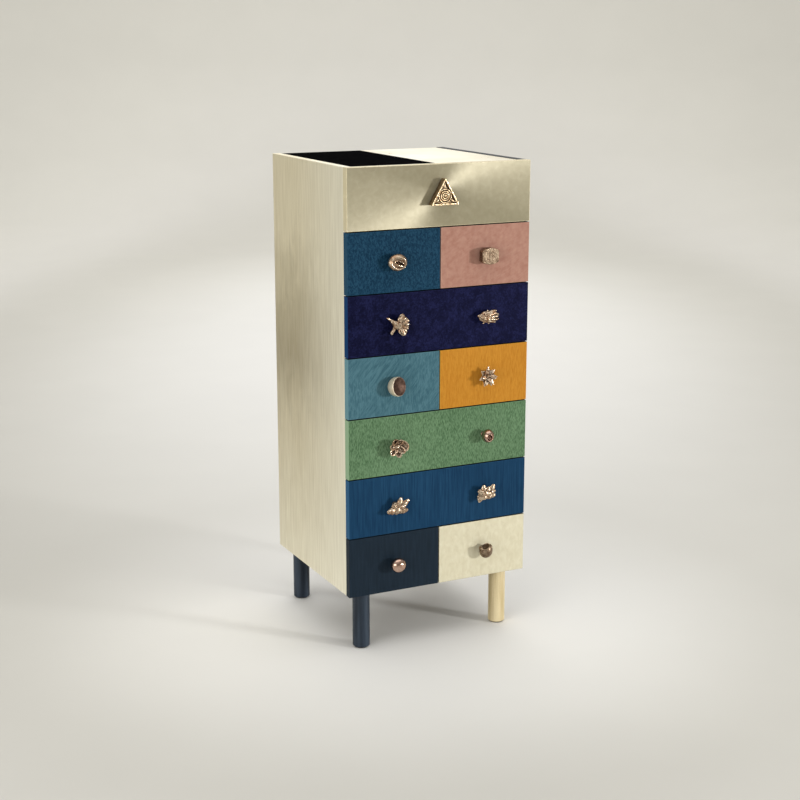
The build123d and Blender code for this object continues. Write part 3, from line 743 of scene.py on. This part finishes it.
def spoon(root, length, breadth, depth, turn, rise, wall):
    """A scooped petal in millimetres: half an ellipsoid's shell that grows from its root."""
    bpy.ops.object.select_all(action="DESELECT")
    bpy.ops.mesh.primitive_uv_sphere_add(**WAX_FACES)
    petal = bpy.context.object
    bpy.ops.object.mode_set(mode="EDIT")
    bpy.ops.mesh.select_all(action="SELECT")
    bpy.ops.mesh.bisect(plane_co=(0, 0, SPOON_LIP_SHARE), plane_no=(0, 0, 1), clear_outer=True)
    bpy.ops.object.mode_set(mode="OBJECT")
    petal.scale = Vector((length, breadth, 2 * depth)) * MM
    bpy.ops.object.transform_apply(location=False, rotation=False, scale=True)
    apply_modifier(petal, "SOLIDIFY", thickness=wall * MM, offset=1.0)
    petal.rotation_euler = (0, math.radians(-rise), math.radians(turn))
    petal.location = (Vector(root) + outwards(length * SPOON_ROOT_SHARE, turn, rise)) * MM
    return petal


print("shapes of wax ready")

# %% [markdown]
# Every knob stands on a short turned post that the screw passes through. A lathe is a ring that is
# extruded and resized again and again: from the bore out to the foot, up the waist, and back to the
# bore.

# %% Turned posts
BORE_RADIUS = 2.2
BORE_DEPTH = 8.0
SLIM_RADIUS, SLIM_LENGTH = 6.5, 10.0
STOUT_RADIUS, STOUT_LENGTH = 12.0, 4.0
POST_SHARES = ((1.0, -1.0), (1.0, -0.85), (0.8, -0.7), (0.76, -0.45), (0.82, -0.2), (0.95, 0.0))
WELD_DISTANCE = 0.01


def turned_post(radius, length):
    """A turned and bored post from the front to the seat of the knob, in millimetres."""
    bpy.ops.object.select_all(action="DESELECT")
    bpy.ops.mesh.primitive_circle_add(vertices=48, radius=BORE_RADIUS * MM, location=(0, 0, -length * MM))
    post = bpy.context.object
    bpy.ops.object.mode_set(mode="EDIT")
    bpy.ops.mesh.select_all(action="SELECT")
    now, height = BORE_RADIUS, -length
    rings = [(wide * radius, up * length) for wide, up in POST_SHARES]
    for wide, up in rings + [(BORE_RADIUS, 0.0), (BORE_RADIUS, -length)]:
        bpy.ops.mesh.extrude_region_move(TRANSFORM_OT_translate={"value": (0, 0, (up - height) * MM)})
        bpy.ops.transform.resize(value=(wide / now, wide / now, 1))
        now, height = wide, up
    bpy.ops.mesh.select_all(action="SELECT")
    bpy.ops.mesh.remove_doubles(threshold=WELD_DISTANCE * MM)
    bpy.ops.mesh.normals_make_consistent(inside=False)
    bpy.ops.object.mode_set(mode="OBJECT")
    return post


slim_post = turned_post(SLIM_RADIUS, SLIM_LENGTH)
stout_post = turned_post(STOUT_RADIUS, STOUT_LENGTH)
print("posts:", slim_post.dimensions.z, stout_post.dimensions.z)

# %% [markdown]
# Planting is the same for all knobs: bore it, join it to a copy of its post, turn it to face the front
# and move it to the place of its plain casting, which it hides. It rides on its drawer. On a wide front
# two knobs sit as far out as the middles of the half fronts.

# %% Planting a knob
SMOOTH_ANGLE = 40
LEFT = middle_of("teal_drawer_front").x / MM
MIDDLE = middle_of("brass_drawer_front").x / MM
RIGHT = middle_of("pink_drawer_front").x / MM


def plant(knob, node, drawer, x, polish, post):
    """Bore a knob, give it a copy of a post, move it to its place and let it stand for its CAD node."""
    bpy.ops.object.select_all(action="DESELECT")
    bpy.ops.mesh.primitive_cylinder_add(vertices=32, radius=BORE_RADIUS * MM, depth=2 * BORE_DEPTH * MM)
    carve(knob, bpy.context.object)
    only(post)
    bpy.ops.object.duplicate()
    post_copy = bpy.context.object
    for part in (knob, post_copy):
        if not part.data.materials:
            part.data.materials.append(polish)
    knob = merge([knob, post_copy])
    low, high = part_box(drawer + "_front")
    knob.rotation_euler = (math.radians(90), 0, 0)
    knob.location = (x * MM, low.y - post.dimensions.z, (low.z + high.z) / 2)
    bpy.ops.object.transform_apply(location=True, rotation=True, scale=True)
    bpy.ops.object.shade_smooth_by_angle(angle=math.radians(SMOOTH_ANGLE))
    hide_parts(node)
    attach(knob, drawer)
    size = [round(v / MM, 1) for v in knob.dimensions]
    print(knob.name, "faces:", len(knob.data.polygons), "size mm:", size)


print("knobs at", [round(x, 3) for x in (LEFT, MIDDLE, RIGHT)], "mm")

# %% [markdown]
# ### The triangle of the top drawer
# A thick three-sided slab with a raised rim, and on it a coiled disc that nearly fills it. The slab is
# a three-sided cylinder: its face is inset and pushed in, and its upright edges are bevelled. Rings of
# wire and a small dome make the coil, and a thorn points into each corner.

# %% Triangle knob
TRIANGLE_RADIUS = 43.0
TRIANGLE_DEPTH = 20.0
RIM_WIDTH = 3.2
RIM_SLOPE = 0.8
FACE_SUNK = 5.0
CORNER_BEVEL = 1.6
UPRIGHT_LENGTH = 19.0


def pick(piece, kind, wanted):
    """In edit mode, select only the faces or edges that pass a test."""
    bpy.ops.mesh.select_mode(type=kind)
    bpy.ops.mesh.select_all(action="DESELECT")
    shape = bmesh.from_edit_mesh(piece.data)
    for part in (shape.faces if kind == "FACE" else shape.edges):
        part.select_set(wanted(part))
    bmesh.update_edit_mesh(piece.data)


def upright(edge):
    """Whether an edge runs the whole depth of the slab."""
    return abs(edge.verts[0].co.z - edge.verts[1].co.z) > UPRIGHT_LENGTH * MM


bpy.ops.object.select_all(action="DESELECT")
bpy.ops.mesh.primitive_cylinder_add(
    vertices=3, radius=TRIANGLE_RADIUS * MM, depth=TRIANGLE_DEPTH * MM,
    location=(0, 0, TRIANGLE_DEPTH / 2 * MM),
)
slab = bpy.context.object
bpy.ops.object.mode_set(mode="EDIT")
pick(slab, "FACE", lambda face: face.normal.z > 0.9)
bpy.ops.mesh.inset(thickness=RIM_WIDTH * MM)
bpy.ops.mesh.inset(thickness=RIM_SLOPE * MM, depth=-FACE_SUNK * MM)
pick(slab, "EDGE", upright)
bpy.ops.mesh.bevel(offset=CORNER_BEVEL * MM, segments=3, affect="EDGES")
bpy.ops.object.mode_set(mode="OBJECT")
bpy.ops.object.transform_apply(location=True, rotation=True, scale=True)
coil = [slab]
for radius, wire, up in ((16.2, 1.7, 17.0), (11.0, 2.0, 17.4), (6.6, 1.7, 18.0)):
    bpy.ops.object.select_all(action="DESELECT")
    bpy.ops.mesh.primitive_torus_add(
        major_radius=radius * MM, minor_radius=wire * MM, location=(0, 0, up * MM),
        major_segments=64, minor_segments=16,
    )
    coil.append(bpy.context.object)
coil.append(lump((0, 0, 14.6), (33, 33, 7)))
coil.append(lump((0.6, 0.4, 17.6), (8.6, 8.0, 4.8)))
coil.append(thorn((6, 2.4, 18.6), (11.5, 4.0, 18.0), 2.0, 1.4))
for turn in (90, 210, 330):
    inner = outwards(20, turn) + Vector((0, 0, 14.5))
    outer = outwards(34, turn) + Vector((0, 0, 15.5))
    coil.append(thorn(inner, outer, 3.6, 0.8, 0.6))
triangle = melt("cast_triangle_with_coil", coil, 0.5, 3, 0.9, 6.0)
plant(triangle, "knob_triangle", "brass_drawer", MIDDLE, gold_bronze, stout_post)

# %% [markdown]
# ### Round and oval knobs
# The cowrie is an oval with a hollow, an almond in the hollow and a slit in the almond. The barrel is
# a slice of an oval cylinder with cut ends and a pebbly face. Carving one lump with another gives the
# soft hollows that a thumb would press into wax.

# %% Cowrie knob
oval = lump((0, 0, 8.25), (47, 41, 27.5))
carve(oval, lump((0, -0.5, 22.5), (43, 33, 18), -20))
almond = lump((0, -2.5, 7.5), (38, 22, 24), -20)
for part in (oval, almond):
    carve(part, lump((3.0, -1.8, 19.5), (27, 8.8, 20), -24))
cowrie = melt("cast_cowrie", [oval, almond], 0.55, 2, 0.7, 8.0)
cowrie.scale = (1.08, 1.02, 1)
plant(cowrie, "knob_cowrie", "teal_drawer", LEFT, bronze, slim_post)

# %% Barrel knob
CASK_WIDTH, CASK_HEIGHT, CASK_DEPTH = 58.0, 40.5, 18.0
CASK_END = 21.8
CASK_BEVEL = 5.5
bpy.ops.object.select_all(action="DESELECT")
bpy.ops.mesh.primitive_cylinder_add(
    vertices=72, radius=0.5, depth=CASK_DEPTH * MM, location=(0, 0, CASK_DEPTH / 2 * MM),
)
cask = bpy.context.object
cask.scale = (CASK_WIDTH * MM, CASK_HEIGHT * MM, 1)
bpy.ops.object.transform_apply(location=True, rotation=True, scale=True)
bpy.ops.object.mode_set(mode="EDIT")
for side in (-1, 1):
    cut_at = (side * CASK_END * MM, 0, 0)
    bpy.ops.mesh.select_all(action="SELECT")
    bpy.ops.mesh.bisect(plane_co=cut_at, plane_no=(side, 0, 0), clear_outer=True, use_fill=True)
bpy.ops.object.mode_set(mode="OBJECT")
apply_modifier(cask, "BEVEL", width=CASK_BEVEL * MM, segments=5, limit_method="ANGLE")
barrel = melt("cast_barrel", [cask], 0.5, 2, 0.7, 2.6)
barrel.scale = (1.06, 1, 1)
plant(barrel, "knob_barrel", "pink_drawer", RIGHT, dark_bronze, slim_post)

# %% [markdown]
# The cup is a ball with its mouth cut off at a slant and dished out. The dish is shallow, because the
# screw ends under it. Its faces are those close to the ball that carved it, so they can be found by
# their distance from its middle and get a darker bronze than the rim.

# %% Cup knob
CUP_SIZE = 49.0
CUP_HEIGHT = 8.0
MOUTH_TIP, MOUTH_TURN = 24, 20
MOUTH_DISTANCE = 6.0
LIP_BEVEL = 1.0
DISH_SIZE = 113.0
DISH_DISTANCE = 52.0
DISH_OFFSET = 0.8
DISH_SKIN = 0.6
ball = lump((0, 0, CUP_HEIGHT), (CUP_SIZE, CUP_SIZE, CUP_SIZE))
bpy.ops.object.transform_apply(location=True, rotation=True, scale=True)
slant = Euler((0, math.radians(MOUTH_TIP), math.radians(MOUTH_TURN))).to_matrix()
outlook = slant @ Vector((0, 0, 1))
mouth = Vector((0, 0, CUP_HEIGHT)) + outlook * MOUTH_DISTANCE
bpy.ops.object.mode_set(mode="EDIT")
bpy.ops.mesh.select_all(action="SELECT")
bpy.ops.mesh.bisect(plane_co=mouth * MM, plane_no=outlook, clear_outer=True, use_fill=True)
bpy.ops.object.mode_set(mode="OBJECT")
apply_modifier(ball, "BEVEL", width=LIP_BEVEL * MM, segments=3, limit_method="ANGLE")
dish = mouth + outlook * DISH_DISTANCE + slant @ Vector((DISH_OFFSET, 0, 0))
carve(ball, lump(dish, (DISH_SIZE, DISH_SIZE, DISH_SIZE)))
cup = melt("cast_tilted_cup", [ball], 0.5, 9, 0.12, 9.0)
dish_reach = (DISH_SIZE / 2 + DISH_SKIN) * MM
in_dish = [(face.center - dish * MM).length < dish_reach for face in cup.data.polygons]
print("dish faces:", sum(in_dish))
cup.data.materials.append(cream_bronze)
cup.data.materials.append(satin_bronze)
for face, inside in zip(cup.data.polygons, in_dish):
    face.material_index = 1 if inside else 0
plant(cup, "knob_cup", "sky_drawer", LEFT, cream_bronze, slim_post)

# %% [markdown]
# Bud and pebble are polished balls: the bud has a dent in its end, and the pebble is two lumps in one.
# The nut is a ball with a large bite and a swelling on each side of it.

# %% Bud, pebble and nut knobs
berry = lump((0, 0, 14.2), (31, 35, 33.5))
carve(berry, lump((-2.2, -2.2, 32.0), (14.5, 18, 22), 0, -8))
bud = melt("cast_bud", [berry], 0.5, 3, 0.12, 9.0)
plant(bud, "knob_bud", "green_drawer", RIGHT, mirror_bronze, slim_post)
stone = [lump((0, 0, 13.3), (38, 35, 31.3)), lump((-4, -3, 12.5), (27, 24, 27))]
pebble = melt("cast_pebble", stone, 0.6, 4, 0.3, 12.0)
pebble.scale = (1.05, 1.08, 1)
plant(pebble, "knob_pebble", "navy_drawer", LEFT, mirror_bronze, slim_post)
kernel = lump((0, 0, 12.4), (34.4, 36.4, 29))
carve(kernel, lump((-6, 16, 20), (26, 19, 36), 14, 0, -12))
cheeks = [lump((-13, 5.5, 12), (9, 14, 19), 20), lump((9.5, 8.5, 13), (12, 13, 19), -25)]
nut = melt("cast_nut", [kernel, *cheeks], 0.6, 3, 0.8, 6.0)
nut.scale = (1.05, 1.08, 1)
plant(nut, "knob_nut", "ivory_drawer", RIGHT, dark_bronze, slim_post)

# %% [markdown]
# ### Flowers
# The round flower has seven petals, and each is a spoon that stands round its middle, one broader than
# the rest. The star has blades in three wreaths instead, the inner ones steeper, so a loop over the
# wreaths makes them all.

# %% Flower knob
PETAL_ROOT = 5.0
PETAL_HEIGHT = 8.0
PETAL_DEPTH = 4.5
PETAL_WALL = 4.0
petals = [lump((0, 0, 5), (18, 18, 14)), lump((-1, 0, 10), (7, 7, 8))]
for turn, rise, length, breadth in (
    (6, 32, 23, 25), (72, 34, 19, 13), (122, 24, 22, 13), (170, 26, 21, 12),
    (218, 20, 24, 13), (270, 26, 22, 13), (318, 34, 18, 12),
):
    root = outwards(PETAL_ROOT, turn) + Vector((0, 0, PETAL_HEIGHT))
    petals.append(spoon(root, length, breadth, PETAL_DEPTH, turn, rise, PETAL_WALL))
flower = melt("cast_flower", petals, 0.5, 2, 1.0, 6.0)
flower.scale = (0.93, 0.9, 1)
plant(flower, "knob_flower", "green_drawer", LEFT, bronze, slim_post)

# %% Star knob
STAR_HEART = Vector((0, 0, 7))
RAY_ROOT_SHARE = 0.1
rays = [lump((0, 0, 6), (22, 22, 20))]
for count, reach, rise, width, first in (
    (7, 25.0, 10, 8.6, 90), (6, 25.0, 36, 8.2, 62), (3, 23.0, 64, 7.0, 20),
):
    for step in range(count):
        turn = first + 360 * step / count
        root = STAR_HEART + outwards(reach * RAY_ROOT_SHARE, turn, rise)
        rays += blade(root, STAR_HEART + outwards(reach, turn, rise), width)
star = melt("cast_star_flower", rays, 0.5, 2, 1.2, 5.0)
star.scale = (1.05, 1.1, 1)
plant(star, "knob_star", "mustard_drawer", RIGHT, bronze, slim_post)

# %% [markdown]
# The orchid is a trumpet on a thin hooked stem, with lobes at its mouth and ridges that fan out over
# them. The stem is three thorns in a row, and each ridge is a long lump that rises from the throat.

# %% Orchid knob
RIDGE_RISE = 16
RIDGE_DEPTH = 9
RIDGE_ROOT_SHARE = 0.46
THROAT_X, THROAT_SUNK = 4, 4
orchid_wax = [
    thorn((6, -2, 10), (-17, 11, 8), 10.0, 4.0),
    thorn((-15, 10, 8), (-24, 18, 8.5), 3.6, 2.2),
    thorn((-23, 17, 8.5), (-30, 20, 9.0), 2.6, 0.8),
    thorn((-6, -4, 7), (-14, -19, 6), 5.0, 3.0),
    lump((-14.5, -18.5, 6), (8, 11, 7), 12),
    lump((0, 0, 8), (26, 22, 17), -20),
    lump((12, 0, 6), (30, 34, 13), 0),
    lump((10, 14, 8), (19, 27, 13), -20),
    lump((20, 9, 7), (20, 18, 11), 24),
    lump((21, -5, 7), (20, 19, 11), -12),
    lump((14, -15, 8), (20, 27, 13), 26),
]
for turn, length, breadth, up in (
    (96, 22, 10, 11), (76, 28, 11, 13), (52, 25, 9, 12), (28, 28, 10, 14),
    (4, 27, 10, 12), (-22, 25, 9, 14), (-46, 28, 10, 12), (-66, 29, 11, 14), (-86, 23, 9, 11),
):
    throat = Vector((THROAT_X, 0, up - THROAT_SUNK))
    middle = throat + outwards(length * RIDGE_ROOT_SHARE, turn, RIDGE_RISE)
    orchid_wax.append(lump(middle, (length, breadth, RIDGE_DEPTH), turn, -RIDGE_RISE))
orchid = melt("cast_orchid", orchid_wax, 0.5, 2, 2.0, 6.0)
plant(orchid, "knob_orchid", "indigo_drawer", LEFT, bronze, slim_post)

# %% [markdown]
# ### Leaf, nugget and shell
# The leaf is a bundle of long ridges that meet at one end and spread like fingers at the other. Nugget
# and shell are bundles of blades, blunter than the star's, that cross in a lump and end in free points.

# %% Leaf knob
leaf_wax = [lump((-1, 0, 6), (50, 30, 17), -2), thorn((-14, 1, 7), (-29, 4, 6), 8.0, 1.8)]
for y, turn, length, up in (
    (10.5, 14, 40, 8), (6.0, 8, 47, 10.5), (0.5, 1, 51, 12), (-5.0, -7, 50, 10.5), (-9.5, -15, 40, 8),
):
    leaf_wax.append(lump((2.0, y, up), (length, 9.0, 14), turn))
for start, end, root, point in (
    ((10, 9, 9), (22, 15, 8), 4.4, 1.6), ((14, 3, 9), (29, 5, 8), 4.6, 1.6),
    ((14, -4, 9), (29.5, -7, 8), 4.6, 1.6), ((8, -9, 8), (20, -15, 7), 4.4, 1.6),
    ((-6, -8, 6), (-13, -17, 5), 4.0, 1.2), ((2, 9, 8), (-3, 17, 7), 4.6, 1.6),
    ((4, -10, 6), (2, -18, 5), 4.0, 1.4),
):
    leaf_wax.append(thorn(start, end, root, point))
leaf = melt("cast_leaf", leaf_wax, 0.5, 2, 2.4, 6.0)
plant(leaf, "knob_leaf", "indigo_drawer", RIGHT, bronze, slim_post)

# %% Nugget knob
BLUNT_SWELL = 0.66
BLUNT_POINT = 3.2
nugget_wax = [lump((0, -9, 7), (42, 21, 18), 4), lump((-3, 1, 6), (25, 19, 14), 12)]
for start, end, width in (
    ((0, -12, 8), (8, 23, 12), 9.0), ((-4, -10, 8), (30, 14, 11), 8.5), ((-8, -8, 9), (28, -13, 9), 10.0),
    ((8, -6, 10), (-29, -13, 8), 10.0), ((4, -8, 9), (-17, 4, 10), 7.5), ((4, -2, 9), (-6, -21, 7), 9.0),
    ((2, -2, 9), (15, -20, 7), 9.0), ((-6, -8, 9), (19, 1, 14), 7.5),
):
    nugget_wax += blade(start, end, width, BLUNT_SWELL, BLUNT_POINT)
nugget = melt("cast_nugget", nugget_wax, 0.5, 2, 1.6, 6.0)
plant(nugget, "knob_nugget", "blue_drawer", LEFT, bronze, slim_post)

# %% Shell knob
shell_wax = [lump((1, -3, 7), (42, 26, 18), -3)]
for start, end, width in (
    ((-2, -6, 8), (-9, 23, 11), 8.5), ((4, -6, 8), (6, 18, 13), 8.0), ((8, -6, 8), (20, 22, 11), 8.5),
    ((4, -6, 8), (-22, 10, 9), 9.0), ((-4, -4, 9), (25, 5, 9), 8.5), ((-24, -6, 9), (24, -9, 9), 9.0),
    ((25, -5, 9), (-21, -11, 11), 8.0), ((-12, 4, 9), (-18, -22, 7), 8.0),
):
    shell_wax += blade(start, end, width, BLUNT_SWELL, BLUNT_POINT)
shell = melt("cast_spiked_shell", shell_wax, 0.5, 2, 1.6, 6.0)
shell.scale = (1.07, 1, 1)
plant(shell, "knob_shell", "blue_drawer", RIGHT, bronze, slim_post)
for model in (slim_post, stout_post):
    bpy.data.objects.remove(model)

# %% [markdown]
# ## Floor and light
# The chest stands on a pale floor that curves up far away, so there is no horizon behind it. The
# floor is a disc whose rim is extruded in rings, outwards at first and then more and more upwards. Its
# paint has a painted pool of light behind the chest, a greyer band of painted shade round the pool, and
# painted light close to the chest. A smooth ramp hides the borders.

# %% Pale floor
FLOOR_RADIUS = 7.0
FLOOR_RIM = 0.2
COVE_RINGS = ((1.15, 0.12), (1.13, 0.4), (1.1, 0.75), (1.06, 1.1), (1.02, 1.6), (1.0, 2.0))
bpy.ops.object.select_all(action="DESELECT")
bpy.ops.mesh.primitive_circle_add(vertices=64, radius=FLOOR_RADIUS, fill_type="NGON")
floor = bpy.context.object
floor.name = "pale_floor"
bpy.ops.object.mode_set(mode="EDIT")
bpy.ops.mesh.select_all(action="SELECT")
bpy.ops.mesh.inset(thickness=FLOOR_RIM)
bpy.ops.mesh.select_all(action="SELECT")
bpy.ops.mesh.region_to_loop()
for wider, up in COVE_RINGS:
    bpy.ops.mesh.extrude_region_move(TRANSFORM_OT_translate={"value": (0, 0, up)})
    bpy.ops.transform.resize(value=(wider, wider, 1))
bpy.ops.object.mode_set(mode="OBJECT")
bpy.ops.object.shade_smooth()
print("floor rises to", round(floor.dimensions.z, 2), "m")

# %% Floor paint
PAINTED_POOL_MIDDLE = (1.55, 3.1, 0)
PAINTED_POOL_STRETCH = (0.1775, 0.0857, 0.0857)
PAINTED_LIGHT_FROM, PAINTED_LIGHT_TO = 0.3, 1.15
floor_paint = new_finish("pale_studio_floor", Specular_IOR_Level=0.1)
dust = cloud(floor_paint, place(floor_paint), 3.0, 3.0)
# Painted light: a wide pool of light behind the chest, with a greyer band of painted shade round it.
from_pool = place(floor_paint, PAINTED_POOL_STRETCH, (0, 0, math.radians(CAMERA_YAW)), PAINTED_POOL_MIDDLE)
distance = add(floor_paint, "VectorMath", {0: from_pool}, operation="LENGTH").outputs["Value"]
painted_light_pool = tones(
    floor_paint, distance, (0.1, (233, 232, 230)), (0.2, (228, 227, 223)), (0.3, (211, 209, 202)),
    (0.4, (200, 198, 190)), (0.5, (224, 222, 217)), (0.62, (224, 222, 214)), (0.75, (219, 217, 209)),
)
painted_light_pool.node.color_ramp.interpolation = "B_SPLINE"
# Painted light: the floor is painted whiter close to the chest.
from_chest = add(floor_paint, "VectorMath", {0: place(floor_paint)}, operation="LENGTH").outputs["Value"]
painted_light_near_chest = ranged(floor_paint, from_chest, PAINTED_LIGHT_FROM, PAINTED_LIGHT_TO, 0.75, 0.0, interpolation_type="SMOOTHSTEP")
with_painted_light = mixed(floor_paint, painted_light_near_chest, painted_light_pool, paint(255, 254, 251))
dusty = tones(floor_paint, dust, (0.3, (226, 223, 216)), (0.7, (240, 237, 230)))
dress(
    floor_paint,
    Base_Color=mixed(floor_paint, 0.12, with_painted_light, dusty),
    Roughness=spread(floor_paint, dust, 0.7, 0.8),
)
floor.data.materials.append(floor_paint)
print("floor paint:", floor_paint.name)

# %% [markdown]
# A studio lights such a chest with softboxes, which are area lamps here. Two of them have a grid, which
# narrows the beam so that it stays on the chest. The world adds a warm light from all round.

# %% Soft studio light
def softbox(name, place_at, aim, size, power, beam=180):
    """A soft lamp that the camera doesn't see. A beam under 180 degrees stands for a grid."""
    bpy.ops.object.light_add(type="AREA", location=place_at)
    lamp = bpy.context.object
    lamp.name = name
    lamp.rotation_euler = (Vector(aim) - Vector(place_at)).to_track_quat("-Z", "Y").to_euler()
    lamp.data.shape = "RECTANGLE"
    lamp.data.size, lamp.data.size_y = size
    lamp.data.energy = power
    lamp.data.spread = math.radians(beam)
    lamp.visible_camera = False
    print(name, power, "W")


softbox("key_from_the_right", (3.7, -4.5, 1.25), (0, -0.2, 0.75), (0.6, 0.6), 42, 90)
softbox("fill_from_the_left", (-3.4, -2.05, 1.15), (0, 0, 0.6), (3.0, 1.5), 18, 100)
softbox("light_from_above", (0, -0.6, 3.9), (0, -0.1, 0.2), (4.4, 3.0), 55)
softbox("glow_on_the_ground_behind", (2.3, 4.9, 4.5), (3.0, 6.0, 0), (6.0, 4.0), 175)
softbox("rim_from_behind", (0.9, 3.4, 2.5), (0.1, 0, 1.2), (2.4, 0.9), 10)
studio = bpy.data.worlds.new("pale_studio")
studio.use_nodes = True
studio.node_tree.nodes["Background"].inputs["Color"].default_value = (1.0, 0.985, 0.95, 1.0)
studio.node_tree.nodes["Background"].inputs["Strength"].default_value = 0.5
bpy.context.scene.world = studio
